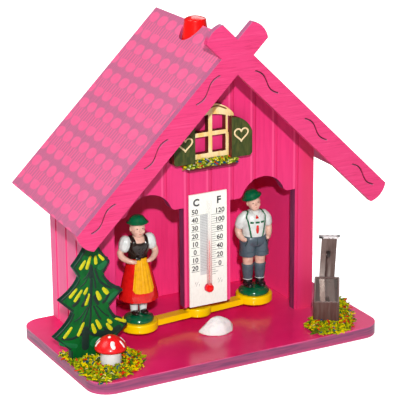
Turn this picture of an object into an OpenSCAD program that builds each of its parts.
// Weather house: a painted wooden house whose two figures stand on a swinging arm.
// The arm hangs from a gut string that twists with the damp in the air.
// Millimetres. Origin at the middle of the base's underside, front towards -Y, up +Z.

/* [House] */
// Outer width of the house
house_w = 107.2; // [96:0.2:130]
// Depth of the house, front face to back face
house_d = 47; // [42:0.5:64]
// Height of the side walls at their outer face, above the base
wall_h = 77.1; // [72:0.1:96]
// Thickness of the front wall
front_t = 4.5; // [3:0.1:6]
// Thickness of the side walls
side_t = 4.5; // [3:0.1:6.5]
// Thickness of the back wall
back_t = 2.5; // [1.5:0.1:5]
// Distance between the grooves of the boarding
groove_pitch = 10.85; // [8:0.05:14]
// Shift of the front boarding from the middle
groove_shift = 1.5; // [-4:0.1:4]
// Width of a boarding groove
groove_w = 1.6; // [0.6:0.1:2.4]
// Depth of a boarding groove
groove_depth = 0.5; // [0.2:0.05:1]

/* [Base] */
// Depth of the yard in front of the house
yard_d = 33.6; // [30:0.2:50]
// Base showing at each side of the house
side_margin = 16.4; // [15:0.2:26]
// Thickness of the base board
base_t = 5.2; // [4:0.1:9]
// Corner radius of the base board
base_corner_r = 9.5; // [3:0.5:12]

/* [Doorways] */
// Width of a doorway
door_w = 33.1; // [30:0.1:35]
// Width of the pillar between the doorways
pillar_w = 22.6; // [20:0.1:26]
// Height of a doorway's flat shoulders above the base
shoulder_h = 57.3; // [54:0.1:62]
// Rise of the arch above the shoulders
arch_rise = 8.4; // [6:0.1:10]
// Radius of the arch
arch_r = 11.2; // [10.2:0.1:13]
// Radius that eases the arch into the shoulders
arch_ease_r = 2.5; // [1:0.1:3]
// Free height below the pillar, where the arm passes
pillar_gap = 11.4; // [10:0.1:14]

/* [Roof] */
// Slope of the roof in degrees
roof_pitch = 44.4; // [40:0.1:50]
// Thickness of a roof panel
roof_t = 4; // [3:0.1:6]
// Overhang of the eaves beyond the side walls, at the back
eave_out = 17.7; // [12:0.1:24]
// Extra length of the roof panels at the front end of the eaves
eave_skew = 3; // [0:0.1:3.2]
// Overhang of the roof panels in front of the house
roof_out = 24.3; // [15:0.1:30]
// Distance of the roof panels from the back face of the house
roof_back_in = 0.6; // [0:0.1:4]

/* [Gable board] */
// Thickness of the gable board
gable_t = 3; // [2:0.1:5]
// Width of a gable arm, square to the slope
gable_w = 10.5; // [8:0.1:14]
// Length of the crossed ends beyond the ridge
gable_cross = 9.6; // [6:0.1:14]
// Length of the gable arms beyond the eaves
gable_tail = 3.2; // [1:0.1:8]
// Bulge of the rounded arm ends
gable_bulge = 1.6; // [0.8:0.1:2.4]
// Length of a carved wave
wave_l = 15.5; // [10:0.1:20]
// Height of a carved wave from its middle line
wave_h = 1.1; // [0.5:0.1:1.6]
// Distance of a wave's middle line from the board's upper edge
wave_down = 4.3; // [3:0.1:6]
// Width of a carved wave's cut
wave_w = 0.6; // [0.3:0.05:1]
// Depth of a carved wave's cut
wave_depth = 0.5; // [0.2:0.05:1]
// Distance of the first wave from the ridge, along the arm
wave_first = 15.6; // [13:0.1:20]
// Distance between the waves, along the arm
wave_pitch = 33.6; // [24:0.1:36]

/* [Adjuster] */
// Distance of the swing axis behind the front face of the house
axis_back = 9.7; // [8:0.1:12]
// Radius of the knob at its foot
knob_r = 6.1; // [4.5:0.05:6.5]
// Radius of the knob below its domed top
knob_top_r = 4.6; // [4:0.05:6]
// Height of the knob
knob_h = 12; // [8:0.1:14]
// Height of the knob's domed top
knob_dome = 1.2; // [0.8:0.1:3]
// Depth of the recess floor below the ridge
recess_drop = 9.4; // [8:0.1:10.5]
// Radius of the recess at its floor
recess_r = 6.7; // [6.6:0.1:8.5]
// Radius of the recess at the ridge
recess_top_r = 7; // [6.8:0.1:15]
// Radius of the knob's stem
stem_r = 2; // [1.6:0.05:2.5]
// Width of the block under the ridge
block_w = 24; // [18:0.5:30]
// Height of the block below the recess floor
block_under = 11; // [8:0.5:16]
// Length of the stem below the block
stem_out = 1.5; // [1:0.1:3]

/* [Gut string] */
// Radius of the gut string
gut_r = 0.5; // [0.3:0.05:0.7]
// Outer radius of the ferrules on the gut's ends
ferrule_r = 1.1; // [0.9:0.05:1.3]
// Length of a ferrule
ferrule_l = 4.6; // [3:0.1:6]

/* [Figure arm] */
// Distance from the swing axis to the middle of a figure
arm_r = 30.4; // [28:0.1:32]
// Turn of the arm at rest, in degrees, left end forward
rest_angle = 5; // [0:0.5:10]
// Free height below the arm
arm_gap = 3.5; // [2:0.1:5]
// Radius of the discs that carry the figures
disc_r = 8.3; // [7:0.05:8.8]
// Height of the discs and the hub
disc_h = 4; // [3.2:0.1:4.5]
// Rounding of the disc edges
disc_edge = 0.8; // [0.3:0.1:1.2]
// Width of the beam
beam_w = 5; // [3:0.1:6]
// Height of the beam
beam_h = 2.6; // [2:0.1:3.2]
// Radius of the hub
hub_r = 6; // [4:0.1:7]
// Radius of the boss that holds the gut
boss_r = 2.6; // [2:0.1:3.5]
// Height of the boss above the hub
boss_h = 4.4; // [3.5:0.1:6]
// Radius of the peg under each figure
peg_r = 1.5; // [1:0.1:2]
// Length of the peg under each figure
peg_l = 2.4; // [1.5:0.1:2.6]

/* [Figures] */
// Radius of a figure's round foot
foot_r = 6.8; // [6:0.05:7.4]
// Height of a figure's round foot
foot_h = 3.2; // [2.5:0.1:4]
// Height of the woman's shoes and socks
woman_leg_h = 7.2; // [5.6:0.1:8]
// Height of the woman's skirt
skirt_h = 17; // [15:0.1:18]
// Radius of the skirt at its hem
hem_r = 8.7; // [8:0.1:9.8]
// Height of the woman's bodice
bodice_h = 11; // [10:0.1:11.5]
// Radius of the woman's waist
waist_r = 3.9; // [3.4:0.1:4.4]
// Height of the man's boots, socks and knees
man_leg_h = 15.8; // [14:0.1:17]
// Radius of the man's legs
man_leg_r = 2.3; // [1.8:0.05:2.5]
// Height of the man's shorts
shorts_h = 8.2; // [7:0.1:9.5]
// Radius of one leg of the shorts
shorts_r = 3.9; // [3.6:0.05:4.2]
// Height of the man's shirt
shirt_h = 11.4; // [10.6:0.1:12]
// Turn of the woman on her peg, in degrees
woman_turn = -10; // [-40:1:40]
// Turn of the man on his peg, in degrees
man_turn = -14; // [-40:1:40]
// Radius of a head
head_r = 3.6; // [3:0.05:4.3]
// Height of a hat above its brim
hat_h = 3.7; // [3:0.1:4.4]
// Radius of a hat's brim
brim_r = 4.7; // [4.2:0.05:5.4]

/* [Thermometer] */
// Width of the scale card
card_w = 18.4; // [15:0.1:20]
// Height of the scale card
card_h = 51.4; // [45:0.1:54]
// Thickness of the scale card
card_t = 0.8; // [0.6:0.05:1.2]
// Radius of the glass tube
tube_r = 1.15; // [0.9:0.05:1.5]
// Radius of the bulb
bulb_r = 1.9; // [1.6:0.05:2.3]
// Radius of the tube's bore
bore_r = 0.4; // [0.25:0.05:0.6]
// Height of the bulb's middle above the card's lower edge
bulb_up = 7.9; // [6:0.1:10]
// Distance of the tube's top below the card's upper edge
tube_top_in = 3.6; // [2:0.1:6]
// Height of the red column above the bulb's middle
column_h = 22; // [8:0.5:30]

/* [Window] */
// Height of the window's bottom rail above the base
window_up = 79; // [77:0.1:82]
// Width of the window frame
window_w = 17.2; // [14:0.1:20]
// Height of the window frame below its lintel
window_h = 19; // [15:0.1:21]
// Thickness of the window frame
window_t = 3.2; // [2:0.1:4]
// Width of the outer frame bars
stile_w = 1.2; // [0.8:0.1:2]
// Height of the bottom rail
rail_h = 2.4; // [1:0.1:3]
// Width of the crossing bars
muntin_w = 2; // [1:0.1:2.6]
// Width of the lintel
lintel_w = 22.8; // [20:0.1:30]
// Rise of the lintel
lintel_rise = 5.7; // [4:0.1:8]
// Width of a shutter
shutter_w = 10.2; // [8:0.1:12]
// Height of a shutter
shutter_h = 18; // [15:0.1:20]
// Thickness of a shutter above its backing
shutter_t = 3; // [2:0.1:4]
// Radius of a shutter's lower outer corner
shutter_corner_r = 1.6; // [0.5:0.1:3]
// Width of the flower shelf
shelf_w = 26; // [22:0.1:32]
// Depth of the flower shelf
shelf_d = 5.6; // [4:0.1:8]
// Thickness of the flower shelf
shelf_t = 1; // [0.8:0.1:2]
// Distance of the flower shelf below the window frame
shelf_down = 2.9; // [2:0.1:5]
// Height of the flower tuft
tuft_h = 2.9; // [2:0.1:6]

/* [Pine tree] */
// Height of the pine tree above the base
tree_h = 58; // [52:0.1:62]
// Thickness of the pine tree
tree_t = 2.8; // [2.2:0.1:5]
// Widths across the tips of the three tiers
tier_w = [34.5, 29.8, 17.4]; // [14:0.1:38]
// Heights of the tips above the base
tier_up = [12.5, 28.3, 42.1]; // [10:0.1:46]
// Widths of the foot and of the two notches between the tiers
notch_w = [18.6, 16.8, 11.4]; // [8:0.1:22]
// Heights of the foot and of the two notches above the base
notch_up = [5.3, 22.3, 37.2]; // [4:0.1:40]
// Inward bow of the edges between the tips and the notches
branch_bow = 1.5; // [0.4:0.1:2]
// Sideways lean of the tree, in degrees
tree_lean = 2; // [0:0.5:3]
// Distance of the tree's middle outside the house's side
tree_out = 6; // [4:0.1:8]
// Distance of the tree's front in front of the house
tree_forward = 6.3; // [5:0.1:8]

/* [Mushroom] */
// Radius of the mushroom's stem
mushroom_stem_r = 4.6; // [3:0.1:5.5]
// Height of the mushroom's stem
mushroom_stem_h = 6; // [4:0.1:8]
// Radius of the mushroom's cap
mushroom_cap_r = 6.8; // [5.6:0.1:7.5]
// Height of the mushroom's cap
mushroom_cap_h = 6.3; // [5:0.1:9]
// Distance of the mushroom from the tree's middle
mushroom_right = 5.7; // [4:0.1:9]
// Distance of the mushroom in front of the house
mushroom_forward = 14; // [13.5:0.1:18]

/* [Yard] */
// Thickness of the turf
turf_t = 1.6; // [1:0.1:2.5]
// Width and depth of the left turf from the base's corner
left_turf_size = [30, 37]; // [20:0.5:40]
// Width and depth of the right turf from the base's corner
right_turf_size = [33, 37.5]; // [20:0.5:40]
// Distance of the turf from the base's edge
turf_in = 0.4; // [0.2:0.1:2]
// Width of the white stone
stone_w = 17.5; // [12:0.1:19]
// Depth of the white stone
stone_d = 9.5; // [7:0.1:10]
// Height of the white stone
stone_h = 7.6; // [5:0.1:9]
// Distance of the stone from the middle of the house
stone_right = 1; // [-4:0.1:4]
// Distance of the stone in front of the house
stone_forward = 6.6; // [6.4:0.1:12]

/* [Fountain] */
// Distance of the trough's front from the house's side, inwards
well_in = 6; // [4:0.1:8]
// Distance of the trough's front in front of the house
well_forward = 21.7; // [20:0.1:24]
// Turn of the fountain from the house's depth, in degrees
well_turn = 32.6; // [30:0.1:34]
// Length of the trough
trough_l = 32.2; // [26:0.1:33]
// Width of the trough
trough_w = 11.4; // [9:0.1:11.6]
// Height of the trough
trough_h = 10.5; // [8:0.1:12]
// Thickness of the trough's walls
trough_wall = 1; // [0.7:0.1:1.6]
// Depth of the water below the trough's rim
water_down = 0.5; // [0.3:0.1:2]
// Width of the post
post_w = 7; // [5:0.1:7.4]
// Depth of the post
post_d = 3; // [2:0.1:5.8]
// Height of the post above the base
post_h = 28.8; // [22:0.1:34]
// Distance of the post's foot to the left of the trough's middle
post_left = 0.6; // [0:0.1:1]
// Sideways lean of the post, from its foot to its top
post_lean = 1.4; // [0:0.1:3]
// Width of the cap plate on the post
cap_w = 9.6; // [7.6:0.1:10]
// Depth of the cap plate
cap_d = 3.6; // [2.2:0.1:8]
// Thickness of the cap plate
cap_t = 0.8; // [0.6:0.1:2]
// Radius of the water spout
spout_r = 0.9; // [0.6:0.05:1.2]
// Length of the spout in front of the post
spout_l = 4; // [2:0.1:6]
// Height of the spout above the base
spout_up = 22; // [18:0.1:24]

/* [Fasteners] */
// Radius of the screws under the base
screw_r = 1.1; // [0.8:0.05:1.3]
// Radius of the screw heads
screw_head_r = 2.2; // [1.8:0.05:2.8]
// Length of the screws
screw_l = 14; // [10:0.5:18]
// Distance of the screws from the ends of the side walls
screw_in = 8; // [6:0.5:12]
// Depth of the screw heads below the base's underside
screw_sink = 0.4; // [0.2:0.1:0.8]

/* [Hidden] */
$fn = 64;

// Clearances
run_clear = 0.05;
gut_clear = 0.03;
knob_gap = 0.3;
bulb_clear = 0.15;
column_clear = 0.02;
turf_clear = 0.1;
shutter_clear = 0.1;
tip = 0.01;

// House levels and planes
half_w = house_w / 2;
base_w = house_w + 2 * side_margin;
base_d = house_d + yard_d;
back_y = base_d / 2;
front_y = back_y - house_d;
room_front_y = front_y + front_t;
room_back_y = back_y - back_t;
slope = tan(roof_pitch);
wall_top_z = base_t + wall_h;
ridge_under_z = wall_top_z + half_w * slope;
ridge_z = ridge_under_z + roof_t / cos(roof_pitch);
eave_x = half_w + eave_out;
roof_front_y = front_y - roof_out;
roof_back_y = back_y - roof_back_in;
roof_l = roof_back_y - roof_front_y;
door_x = (pillar_w + door_w) / 2;
shoulder_z = base_t + shoulder_h;
pillar_z = base_t + pillar_gap;

// Swing axis and levels of the hanging parts
axis_y = front_y + axis_back;
arm_z = base_t + arm_gap;
disc_top_z = arm_z + disc_h;
boss_top_z = disc_top_z + boss_h;
recess_z = ridge_z - recess_drop;
recess_slope = (recess_top_r - recess_r) / recess_drop;
knob_z = recess_z + knob_gap;
block_z = recess_z - block_under;
block_back_y = axis_y + recess_top_r + 1;
stem_end_z = block_z - stem_out;
gut_low_z = boss_top_z - ferrule_l;
gut_high_z = stem_end_z + ferrule_l - knob_gap;

// Thermometer places
card_z = pillar_z;
card_front_y = front_y - card_t;
tube_flat = 0.25;
tube_y = card_front_y - tube_r + tube_flat;
bulb_z = card_z + bulb_up;
tube_top_z = card_z + card_h - tube_top_in;

// Window places
shutter_low = 0.6;
sill_z = base_t + window_up;
head_z = sill_z + window_h;
window_front_y = front_y - window_t;
shutter_in = window_w / 2 + shutter_clear;
shutter_z = sill_z - shutter_low;
shelf_z = sill_z - shelf_t - shelf_down;

// Figure proportions: joints as sideways, forward and upward offsets
neck_h = 0.5;
brim_t = 0.8;
woman_leg_x = 2.4;
woman_leg_r = 1.7;
woman_toe = [2.9, -2.6, 0.4];
woman_shoulder = [3.9, 0, -1.8];
woman_elbow = [7.8, 0, -6];
woman_hand = [3.8, -4.2, -0.3];
man_leg_x = 2.9;
man_toe = [3.4, -2.6, 0.6];
man_shoulder = [4.8, 0, -2.2];
man_elbow = [7.7, 0.8, -8.4];
man_hand = [6, -1.6, -1.4];
man_hat_lean = -16;

// Yard places
branch_steps = 6;
tree_x = -half_w - tree_out;
tree_front_y = front_y - tree_forward;
mushroom_x = tree_x + mushroom_right;
mushroom_y = front_y - mushroom_forward;
stone_y = front_y - stone_forward;
well_x = half_w - well_in;
well_y = front_y - well_forward;

// Point of a figure's joint on one side, measured up from z
function joint(offset, sx, z) = [sx * offset[0], offset[1], z + offset[2]];

function wave_points(side) = [
    for (i = [0 : 12])
        let (u = side > 0 ? i / 12 : 1 - i / 12)
        [wave_l * u, wave_down - wave_h * sin(360 * u) + side * wave_w / 2]
];

// Solid standing upright from an outline drawn in X and Z, reaching back from y_front
module upright(y_front, depth) {
    translate([0, y_front + depth, 0])
        rotate([90, 0, 0])
            linear_extrude(depth)
                children();
}

module base_outline(inset) {
    r = base_corner_r;
    w = base_w - 2 * inset;
    d = base_d - 2 * inset;
    square([w - 2 * r, d], center = true);
    square([w, d - 2 * r], center = true);
    for (sx = [-1, 1], sy = [-1, 1])
        translate([sx * (w / 2 - r), sy * (d / 2 - r)])
            circle(r);
}

// Round disc with eased edges
module eased_disc(r, h, edge) {
    rotate_extrude() {
        square([r - edge, h]);
        translate([0, edge])
            square([r, h - 2 * edge]);
        for (z = [edge, h - edge])
            translate([r - edge, z])
                circle(edge);
    }
}

module house_outline() {
    polygon([
        [-half_w, base_t], [half_w, base_t], [half_w, wall_top_z],
        [0, ridge_under_z], [-half_w, wall_top_z]
    ]);
}

// Doorway with flat shoulders and an eased arch, drawn in X and Z
module doorway_outline() {
    arch_z = shoulder_z + arch_rise - arch_r;
    ease_z = shoulder_z + arch_ease_r;
    reach = arch_r + arch_ease_r;
    ease_x = sqrt(reach * reach - (ease_z - arch_z) * (ease_z - arch_z));
    share = arch_r / reach;
    translate([-door_w / 2, base_t - 1])
        square([door_w, shoulder_h + 1]);
    translate([0, arch_z])
        circle(arch_r);
    for (side = [-1, 1])
        difference() {
            polygon([
                [side * ease_x, shoulder_z], [0, shoulder_z - 1], [0, shoulder_z],
                [side * ease_x * share, arch_z + (ease_z - arch_z) * share]
            ]);
            translate([side * ease_x, ease_z])
                circle(arch_ease_r);
        }
}

// Conical recess round the knob, cut into everything under the ridge
module knob_recess() {
    over = 6;
    translate([0, axis_y, recess_z])
        cylinder(h = recess_drop + over, r1 = recess_r, r2 = recess_top_r + recess_slope * over);
}

module screw_places() {
    for (sx = [-1, 1], y = [room_front_y + screw_in, back_y - screw_in])
        translate([sx * (half_w - side_t / 2), y, 0])
            children();
}

module screw_shape() {
    head_h = screw_head_r - screw_r;
    translate([0, 0, screw_sink]) {
        cylinder(h = head_h, r1 = screw_head_r, r2 = screw_r);
        cylinder(h = screw_l, r = screw_r);
    }
}

module base_board() {
    color("mediumvioletred")
        difference() {
            linear_extrude(base_t)
                base_outline(0);
            screw_places() {
                screw_shape();
                translate([0, 0, -tip])
                    cylinder(h = screw_sink + 2 * tip, r = screw_head_r);
            }
        }
}

module front_wall() {
    color("deeppink")
        difference() {
            upright(front_y, front_t)
                difference() {
                    house_outline();
                    for (side = [-1, 1])
                        translate([side * door_x, 0])
                            doorway_outline();
                    translate([-pillar_w / 2 - 1, base_t - 1])
                        square([pillar_w + 2, pillar_gap + 1]);
                }
            for (i = [-6 : 6])
                let (x = groove_shift + i * groove_pitch)
                if (abs(x) < half_w - 2 * groove_w)
                    translate([x - groove_w / 2, front_y - 1, 0])
                        cube([groove_w, groove_depth + 1, ridge_z]);
            knob_recess();
        }
}

module back_wall() {
    inner_w = half_w - side_t;
    inner_z = wall_top_z + side_t * slope;
    color("mediumvioletred")
        upright(room_back_y, back_t)
            polygon([
                [-inner_w, base_t], [inner_w, base_t], [inner_w, inner_z],
                [0, ridge_under_z], [-inner_w, inner_z]
            ]);
}

module side_wall(side) {
    color("deeppink")
        difference() {
            upright(room_front_y, house_d - front_t)
                polygon([
                    [side * half_w, base_t], [side * (half_w - side_t), base_t],
                    [side * (half_w - side_t), wall_top_z + side_t * slope],
                    [side * half_w, wall_top_z]
                ]);
            for (y = [room_front_y + groove_pitch / 3 : groove_pitch : back_y - groove_w])
                translate([side * half_w - groove_depth, y - groove_w / 2, 0])
                    cube([2 * groove_depth, groove_w, ridge_z]);
            screw_places()
                screw_shape();
        }
}

module left_wall() {
    side_wall(-1);
}

module right_wall() {
    side_wall(1);
}

// What is sawn off a roof panel's eaves, so that they run slantwise from front to back
module eave_offcut() {
    translate([0, roof_back_y, ridge_z])
        rotate([0, roof_pitch, 0])
            translate([eave_x / cos(roof_pitch), 0, -2 * roof_t])
                rotate(atan(eave_skew / roof_l))
                    translate([0, -2 * roof_l, 0])
                        cube([roof_l, 3 * roof_l, 3 * roof_t]);
}

module roof_panel(side) {
    front_x = eave_x + eave_skew * cos(roof_pitch);
    front_z = ridge_z - front_x * slope;
    color("palevioletred")
        difference() {
            upright(roof_front_y, roof_l)
                polygon([
                    [0, ridge_under_z], [0, ridge_z], [side * front_x, front_z],
                    [side * (front_x - roof_t * sin(roof_pitch)), front_z - roof_t * cos(roof_pitch)]
                ]);
            knob_recess();
            mirror([side < 0 ? 1 : 0, 0, 0])
                eave_offcut();
        }
}

module left_roof_panel() {
    roof_panel(-1);
}

module right_roof_panel() {
    roof_panel(1);
}

// One gable arm along +X from the ridge, its upper edge on the X axis
module gable_arm() {
    arm_l = eave_x / cos(roof_pitch) + gable_tail;
    end_r = (gable_w * gable_w / 4 + gable_bulge * gable_bulge) / (2 * gable_bulge);
    translate([-gable_cross, -gable_w])
        square([arm_l + gable_cross, gable_w]);
    intersection() {
        translate([arm_l + gable_bulge - end_r, -gable_w / 2])
            circle(end_r);
        translate([arm_l - tip, -gable_w])
            square([gable_bulge + 1, gable_w]);
    }
    intersection() {
        translate([end_r - gable_cross - gable_bulge, -gable_w / 2])
            circle(end_r);
        translate([-gable_cross - gable_bulge - 1, -gable_w])
            square([gable_bulge + 1 + tip, gable_w]);
    }
}

module gable_waves() {
    for (i = [0 : 2])
        translate([wave_first + i * wave_pitch, 0])
            mirror([0, 1])
                polygon(concat(wave_points(1), wave_points(-1)));
}

module gable_board() {
    color("deeppink")
        difference() {
            upright(roof_front_y - gable_t, gable_t)
                for (side = [0, 1])
                    mirror([side, 0])
                        translate([0, ridge_z])
                            rotate(-roof_pitch)
                                gable_arm();
            upright(roof_front_y - gable_t - 1, wave_depth + 1)
                for (side = [0, 1])
                    mirror([side, 0])
                        translate([0, ridge_z])
                            rotate(-roof_pitch)
                                gable_waves();
        }
}

module ridge_block() {
    shoulder = ridge_under_z - block_w / 2 * slope;
    color("burlywood")
        difference() {
            upright(room_front_y, block_back_y - room_front_y)
                polygon([
                    [-block_w / 2, block_z], [block_w / 2, block_z],
                    [block_w / 2, shoulder], [0, ridge_under_z], [-block_w / 2, shoulder]
                ]);
            knob_recess();
            translate([0, axis_y, block_z - 1])
                cylinder(h = block_under + 2, r = stem_r + run_clear);
        }
}

module adjuster_knob() {
    side_h = knob_h - knob_dome;
    color("red")
        translate([0, axis_y, 0])
            difference() {
                union() {
                    translate([0, 0, knob_z])
                        cylinder(h = side_h, r1 = knob_r, r2 = knob_top_r);
                    translate([0, 0, knob_z + side_h])
                        intersection() {
                            dome_r = (knob_top_r * knob_top_r + knob_dome * knob_dome) / (2 * knob_dome);
                            translate([0, 0, knob_dome - dome_r])
                                sphere(dome_r);
                            cylinder(h = knob_dome, r = knob_top_r);
                        }
                    translate([0, 0, stem_end_z])
                        cylinder(h = knob_z - stem_end_z + tip, r = stem_r);
                }
                translate([0, 0, stem_end_z - 1])
                    cylinder(h = ferrule_l + 1, r = ferrule_r);
            }
}

module ferrule(low_z, clear) {
    color("goldenrod")
        translate([0, axis_y, low_z])
            difference() {
                cylinder(h = ferrule_l, r = ferrule_r);
                translate([0, 0, -1])
                    cylinder(h = ferrule_l + 2, r = gut_r + clear);
            }
}

module upper_ferrule() {
    ferrule(stem_end_z, gut_clear);
}

module lower_ferrule() {
    ferrule(gut_low_z, 0);
}

module gut_string() {
    color("tan")
        translate([0, axis_y, gut_low_z])
            cylinder(h = gut_high_z - gut_low_z, r = gut_r);
}

// Places what stands on one end of the arm, turned from the arm's front
module on_arm(side, turn) {
    translate([0, axis_y, disc_top_z])
        rotate(rest_angle)
            translate([side * arm_r, 0, 0])
                rotate(turn)
                    children();
}

module figure_arm() {
    color("gold")
        difference() {
            union() {
                translate([0, axis_y, arm_z])
                    rotate(rest_angle) {
                        translate([-arm_r, -beam_w / 2, 0])
                            cube([2 * arm_r, beam_w, beam_h]);
                        for (side = [-1, 1])
                            translate([side * arm_r, 0, 0])
                                eased_disc(disc_r, disc_h, disc_edge);
                        eased_disc(hub_r, disc_h, disc_edge);
                        translate([0, 0, disc_h - tip])
                            cylinder(h = boss_h + tip, r = boss_r);
                    }
            }
            translate([0, axis_y, gut_low_z])
                cylinder(h = ferrule_l + 1, r = ferrule_r);
            for (side = [-1, 1])
                on_arm(side, 0)
                    translate([0, 0, -peg_l])
                        cylinder(h = peg_l + 1, r = peg_r);
        }
}

// Round foot with its peg, standing on a disc
module figure_foot() {
    translate([0, 0, -peg_l])
        cylinder(h = peg_l + tip, r = peg_r);
    cylinder(h = foot_h / 2, r = foot_r);
    translate([0, 0, foot_h / 2 - tip])
        cylinder(h = foot_h / 2 + tip, r1 = foot_r, r2 = foot_r * 0.7);
}

// Limb between two points
module limb(from, to, r_from, r_to) {
    hull() {
        translate(from)
            sphere(r_from, $fn = 24);
        translate(to)
            sphere(r_to, $fn = 24);
    }
}

// Head with hat, its neck starting at z
module figure_head(z, lean) {
    head_z = z + neck_h + head_r * 0.75;
    brim_z = head_z + head_r * 0.62;
    translate([0, 0, z - 1])
        cylinder(h = neck_h + 2, r = head_r * 0.45);
    translate([0, 0, head_z])
        sphere(head_r);
    translate([0, 0, brim_z])
        rotate([0, lean, 0]) {
            cylinder(h = brim_t, r = brim_r);
            cylinder(h = hat_h, r1 = brim_r * 0.82, r2 = brim_r * 0.55);
        }
}

module woman_figure() {
    hem_z = foot_h + woman_leg_h;
    waist_z = hem_z + skirt_h;
    shoulder_top = waist_z + bodice_h;
    color("firebrick")
        on_arm(-1, woman_turn) {
            figure_foot();
            for (sx = [-1, 1]) {
                elbow = joint(woman_elbow, sx, shoulder_top);
                translate([sx * woman_leg_x, 0, foot_h - 1])
                    cylinder(h = woman_leg_h + 2, r = woman_leg_r);
                limb([sx * woman_leg_x, 0, foot_h + 0.6], joint(woman_toe, sx, foot_h), 1.5, 1.2);
                limb(joint(woman_shoulder, sx, shoulder_top), elbow, 2.3, 1.7);
                limb(elbow, joint(woman_hand, sx, waist_z), 1.5, 1.1);
            }
            translate([0, 0, hem_z])
                cylinder(h = skirt_h, r1 = hem_r, r2 = waist_r + 1.4);
            translate([0, 0, waist_z - tip])
                cylinder(h = bodice_h + tip, r1 = waist_r, r2 = waist_r + 0.7);
            figure_head(shoulder_top, 0);
        }
}

module man_figure() {
    knee_z = foot_h + man_leg_h;
    belt_z = knee_z + shorts_h;
    shoulder_top = belt_z + shirt_h;
    color("seagreen")
        on_arm(1, man_turn) {
            figure_foot();
            for (sx = [-1, 1]) {
                elbow = joint(man_elbow, sx, shoulder_top);
                translate([sx * man_leg_x, 0, foot_h - 1])
                    cylinder(h = man_leg_h + 2, r = man_leg_r);
                limb([sx * man_leg_x, 0, foot_h + 1], joint(man_toe, sx, foot_h), 1.9, 1.5);
                translate([sx * (shorts_r - 0.4), 0, knee_z])
                    cylinder(h = shorts_h, r = shorts_r);
                limb(joint(man_shoulder, sx, shoulder_top), elbow, 2.4, 1.7);
                limb(elbow, joint(man_hand, sx, belt_z), 1.6, 1.2);
            }
            translate([0, 0, belt_z - tip])
                cylinder(h = shirt_h + tip, r1 = shorts_r + 1.2, r2 = shorts_r + 1.9);
            figure_head(shoulder_top, man_hat_lean);
        }
}

module bulb_hole() {
    translate([0, front_y + 1, bulb_z])
        rotate([90, 0, 0])
            cylinder(h = card_t + 2, r = bulb_r + bulb_clear);
}

module thermometer_card() {
    color("white")
        difference() {
            translate([-card_w / 2, card_front_y, card_z])
                cube([card_w, card_t, card_h]);
            bulb_hole();
        }
}

// Inside of the tube: the bulb's hollow and the bore
module tube_inside(clear, top_z) {
    translate([0, tube_y, bulb_z]) {
        sphere(bulb_r * 0.8 - clear);
        cylinder(h = top_z - bulb_z, r = bore_r - clear);
    }
}

module thermometer_tube() {
    color("lightcyan", 0.5)
        difference() {
            union() {
                difference() {
                    translate([0, tube_y, bulb_z])
                        cylinder(h = tube_top_z - bulb_z, r = tube_r);
                    translate([-card_w / 2, card_front_y, card_z])
                        cube([card_w, card_t, card_h]);
                }
                translate([0, tube_y, bulb_z])
                    intersection() {
                        sphere(bulb_r);
                        translate([-bulb_r, -bulb_r, -bulb_r])
                            cube([2 * bulb_r, bulb_r + front_y - tube_y, 2 * bulb_r]);
                    }
            }
            tube_inside(0, tube_top_z - 1);
        }
}

module thermometer_column() {
    color("red")
        tube_inside(column_clear, bulb_z + column_h);
}

// Lintel band between two arcs, drawn in X and Z
module lintel_outline() {
    low_rise = lintel_rise / 2;
    half = lintel_w / 2;
    top_r = (half * half + lintel_rise * lintel_rise) / (2 * lintel_rise);
    low_r = (half * half + low_rise * low_rise) / (2 * low_rise);
    spring_z = head_z - low_rise;
    difference() {
        intersection() {
            translate([0, spring_z + 2 + lintel_rise - top_r])
                circle(top_r, $fn = 128);
            translate([-half, spring_z])
                square([lintel_w, lintel_rise + 3]);
        }
        translate([0, spring_z + low_rise - low_r])
            circle(low_r, $fn = 128);
    }
}

module window_frame() {
    pane_w = (window_w - 2 * stile_w - muntin_w) / 2;
    pane_h = (window_h - rail_h - muntin_w) / 2;
    wing_w = shutter_w - 0.6;
    color("wheat") {
        upright(window_front_y, window_t) {
            difference() {
                translate([-window_w / 2, sill_z])
                    square([window_w, window_h]);
                for (sx = [-1, 1], row = [0, 1])
                    translate([
                        sx * (muntin_w + pane_w) / 2 - pane_w / 2,
                        sill_z + rail_h + row * (pane_h + muntin_w)
                    ])
                        square([pane_w, pane_h]);
            }
            lintel_outline();
        }
        upright(window_front_y, window_t)
            for (side = [0, 1])
                mirror([side, 0])
                    translate([window_w / 2 - tip, shutter_z])
                        square([wing_w, shutter_h * 0.6]);
    }
}

// Shutter with rounded outer corners, drawn in X and Z
module shutter_outline() {
    r = shutter_corner_r;
    square([shutter_w - r, r]);
    translate([shutter_w - r, r])
        circle(r);
    translate([0, r])
        square([shutter_w, shutter_h * 0.45 - r]);
    intersection() {
        translate([0, r])
            square([shutter_w, shutter_h - r]);
        translate([0, shutter_h - shutter_w * 1.05])
            circle(shutter_w * 1.05);
    }
}

module shutter(side) {
    color("darkgreen")
        upright(window_front_y - shutter_t, shutter_t)
            mirror([side < 0 ? 1 : 0, 0])
                translate([shutter_in, shutter_z])
                    shutter_outline();
}

module left_shutter() {
    shutter(-1);
}

module right_shutter() {
    shutter(1);
}

module flower_shelf() {
    low_w = shelf_w - 4;
    color("saddlebrown")
        upright(front_y - shelf_d, shelf_d)
            polygon([
                [-low_w / 2, shelf_z], [low_w / 2, shelf_z],
                [shelf_w / 2, shelf_z + shelf_t], [-shelf_w / 2, shelf_z + shelf_t]
            ]);
}

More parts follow.
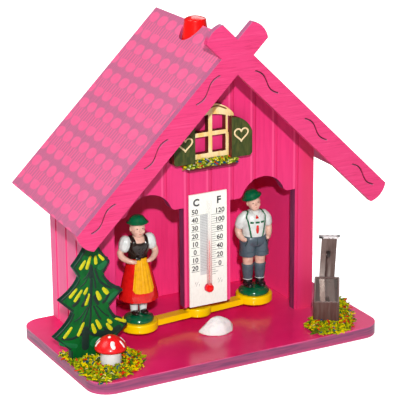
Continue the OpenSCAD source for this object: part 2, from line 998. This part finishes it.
module flower_tuft() {
    tuft_r = shelf_d / 2;
    count = floor((shelf_w - 2 * tuft_r) / 3);
    reach = shelf_w / 2 - tuft_r;
    color("yellowgreen")
        difference() {
            translate([0, front_y - tuft_r, shelf_z + shelf_t])
                for (i = [0 : count])
                    translate([-reach + 2 * reach * i / count, 0, 0])
                        cylinder(h = tuft_h - 1.2 * (i % 2), r1 = tuft_r, r2 = tuft_r * 0.6);
            window_frame();
            for (side = [-1, 1])
                shutter(side);
        }
}

// Edge from a tip up to the notch above it, without its last point
function branch_edge(from, to) = [
    for (i = [0 : branch_steps - 1])
        let (u = i / branch_steps)
        from * (1 - u) + to * u - [4 * branch_bow * u * (1 - u), 0]
];

// One half of the tree's outline from the foot to the last point below the top
function tree_half() = [
    for (tier = [0 : 2])
        let (tip_point = [tier_w[tier] / 2, tier_up[tier]])
        let (next = tier < 2 ? [notch_w[tier + 1] / 2, notch_up[tier + 1]] : [0, tree_h])
        each concat([[notch_w[tier] / 2, notch_up[tier]]], branch_edge(tip_point, next))
];

// Flat pine tree with three tiers, drawn in X and Z from its foot
module tree_outline() {
    half = concat([[notch_w[0] / 2, 0]], tree_half());
    count = len(half);
    mirrored = [for (i = [1 : count]) [-half[count - i][0], half[count - i][1]]];
    polygon([
        for (p = concat(half, [[0, tree_h]], mirrored))
            [p[0] + p[1] * tan(tree_lean), p[1]]
    ]);
}

module pine_tree() {
    color("forestgreen")
        upright(tree_front_y, tree_t)
            translate([tree_x, base_t])
                tree_outline();
}

module mushroom_stem() {
    color("white")
        translate([mushroom_x, mushroom_y, base_t])
            cylinder(h = mushroom_stem_h, r = mushroom_stem_r);
}

// Steep cap with a rolled rim and a rounded top
module mushroom_cap() {
    r = mushroom_cap_r;
    h = mushroom_cap_h;
    color("red")
        translate([mushroom_x, mushroom_y, base_t + mushroom_stem_h])
            rotate_extrude()
                polygon([
                    [0, 0], [r * 0.9, 0], [r, h * 0.14], [r * 0.93, h * 0.36], [r * 0.72, h * 0.64],
                    [r * 0.48, h * 0.85], [r * 0.22, h * 0.97], [0, h]
                ]);
}

// Outline of a turf patch, its points as shares of its size from the base's corner
module turf_patch(side, size, points) {
    intersection() {
        base_outline(turf_in);
        polygon([
            for (p = points)
                [side * (base_w / 2 - p[0] * size[0]), p[1] * size[1] - base_d / 2]
        ]);
    }
}

module house_footprint() {
    translate([-half_w - turf_clear, front_y - turf_clear])
        square([house_w + 2 * turf_clear, house_d + 1]);
}

module tree_footprint() {
    grow = turf_clear;
    translate([tree_x - notch_w[0] / 2 - grow, tree_front_y - grow])
        square([notch_w[0] + 2 * grow, tree_t + 2 * grow]);
}

module left_turf() {
    color("yellowgreen")
        translate([0, 0, base_t])
            linear_extrude(turf_t)
                difference() {
                    turf_patch(-1, left_turf_size, [
                        [0, 1], [0, 0.08], [0.23, 0.05], [0.57, 0.11], [0.87, 0.26], [1, 0.55], [0.9, 0.77]
                    ]);
                    house_footprint();
                    tree_footprint();
                    translate([mushroom_x, mushroom_y])
                        circle(mushroom_stem_r + turf_clear);
                }
}

module right_turf() {
    color("yellowgreen")
        translate([0, 0, base_t])
            linear_extrude(turf_t)
                difference() {
                    turf_patch(1, right_turf_size, [
                        [0.97, 0.33], [1, 0.17], [0.89, 0.04], [0.68, 0.02], [0.47, 0.07],
                        [0.33, 0.21], [0.13, 0.62], [0.06, 0.87], [0.07, 1], [0.36, 0.8]
                    ]);
                    house_footprint();
                    well_footprint();
                }
}

module white_stone() {
    color("white")
        intersection() {
            translate([stone_right, stone_y, base_t])
                hull() {
                    for (sx = [-1, 1])
                        translate([sx * stone_w * 0.36, 0, 0])
                            cylinder(h = stone_h * 0.35, r1 = stone_w * 0.14, r2 = stone_w * 0.1, $fn = 7);
                    translate([0, -stone_d * 0.34, 0])
                        cylinder(h = stone_h * 0.3, r = stone_d * 0.16, $fn = 6);
                    translate([0, stone_d * 0.34, 0])
                        cylinder(h = stone_h * 0.5, r = stone_d * 0.16, $fn = 6);
                    translate([-stone_w * 0.06, 0, 0])
                        cylinder(h = stone_h, r1 = stone_w * 0.2, r2 = stone_w * 0.06, $fn = 7);
                }
            translate([stone_right - stone_w / 2, stone_y - stone_d / 2, base_t])
                cube([stone_w, stone_d, stone_h]);
        }
}

// Places the fountain: trough pointing towards the yard, post at its far end
module at_well() {
    translate([well_x, well_y, base_t])
        rotate(-well_turn)
            children();
}

module well_footprint() {
    grow = turf_clear;
    translate([well_x, well_y])
        rotate(-well_turn) {
            translate([-trough_w / 2 - grow, -grow])
                square([trough_w + 2 * grow, trough_l + 2 * grow]);
            translate([-post_left - post_w / 2 - grow, trough_l])
                square([post_w + 2 * grow, post_d + grow]);
        }
}

// Hollow of the trough above its floor
module trough_hollow(h) {
    translate([trough_wall - trough_w / 2, trough_wall, trough_h / 2])
        cube([trough_w - 2 * trough_wall, trough_l - 2 * trough_wall, h]);
}

module well_trough() {
    color("saddlebrown")
        at_well()
            difference() {
                translate([-trough_w / 2, 0, 0])
                    cube([trough_w, trough_l, trough_h]);
                trough_hollow(trough_h);
            }
}

module well_water() {
    color("lightslategray")
        at_well()
            trough_hollow(trough_h / 2 - water_down);
}

module well_post() {
    color("rosybrown")
        at_well()
            difference() {
                translate([-post_left, 0, 0])
                    upright(trough_l, post_d)
                        polygon([
                            [-post_w / 2, 0], [post_w / 2, 0],
                            [post_w / 2 + post_lean, post_h], [post_lean - post_w / 2, post_h]
                        ]);
                spout_bar();
            }
}

module spout_bar() {
    translate([post_lean * spout_up / post_h - post_left, trough_l + post_d / 2, spout_up])
        rotate([90, 0, 0])
            cylinder(h = spout_l + post_d / 2, r = spout_r);
}

module well_spout() {
    color("dimgray")
        at_well()
            spout_bar();
}

module well_cap() {
    color("silver")
        at_well()
            translate([post_lean - post_left - cap_w / 2, trough_l + post_d / 2 - cap_d / 2, post_h])
                cube([cap_w, cap_d, cap_t]);
}

module base_screws() {
    color("silver")
        screw_places()
            screw_shape();
}

base_board();
front_wall();
back_wall();
left_wall();
right_wall();
left_roof_panel();
right_roof_panel();
gable_board();
ridge_block();
adjuster_knob();
upper_ferrule();
gut_string();
lower_ferrule();
figure_arm();
woman_figure();
man_figure();
thermometer_card();
thermometer_tube();
thermometer_column();
window_frame();
left_shutter();
right_shutter();
flower_shelf();
flower_tuft();
pine_tree();
mushroom_stem();
mushroom_cap();
left_turf();
right_turf();
white_stone();
well_trough();
well_water();
well_post();
well_spout();
well_cap();
base_screws();
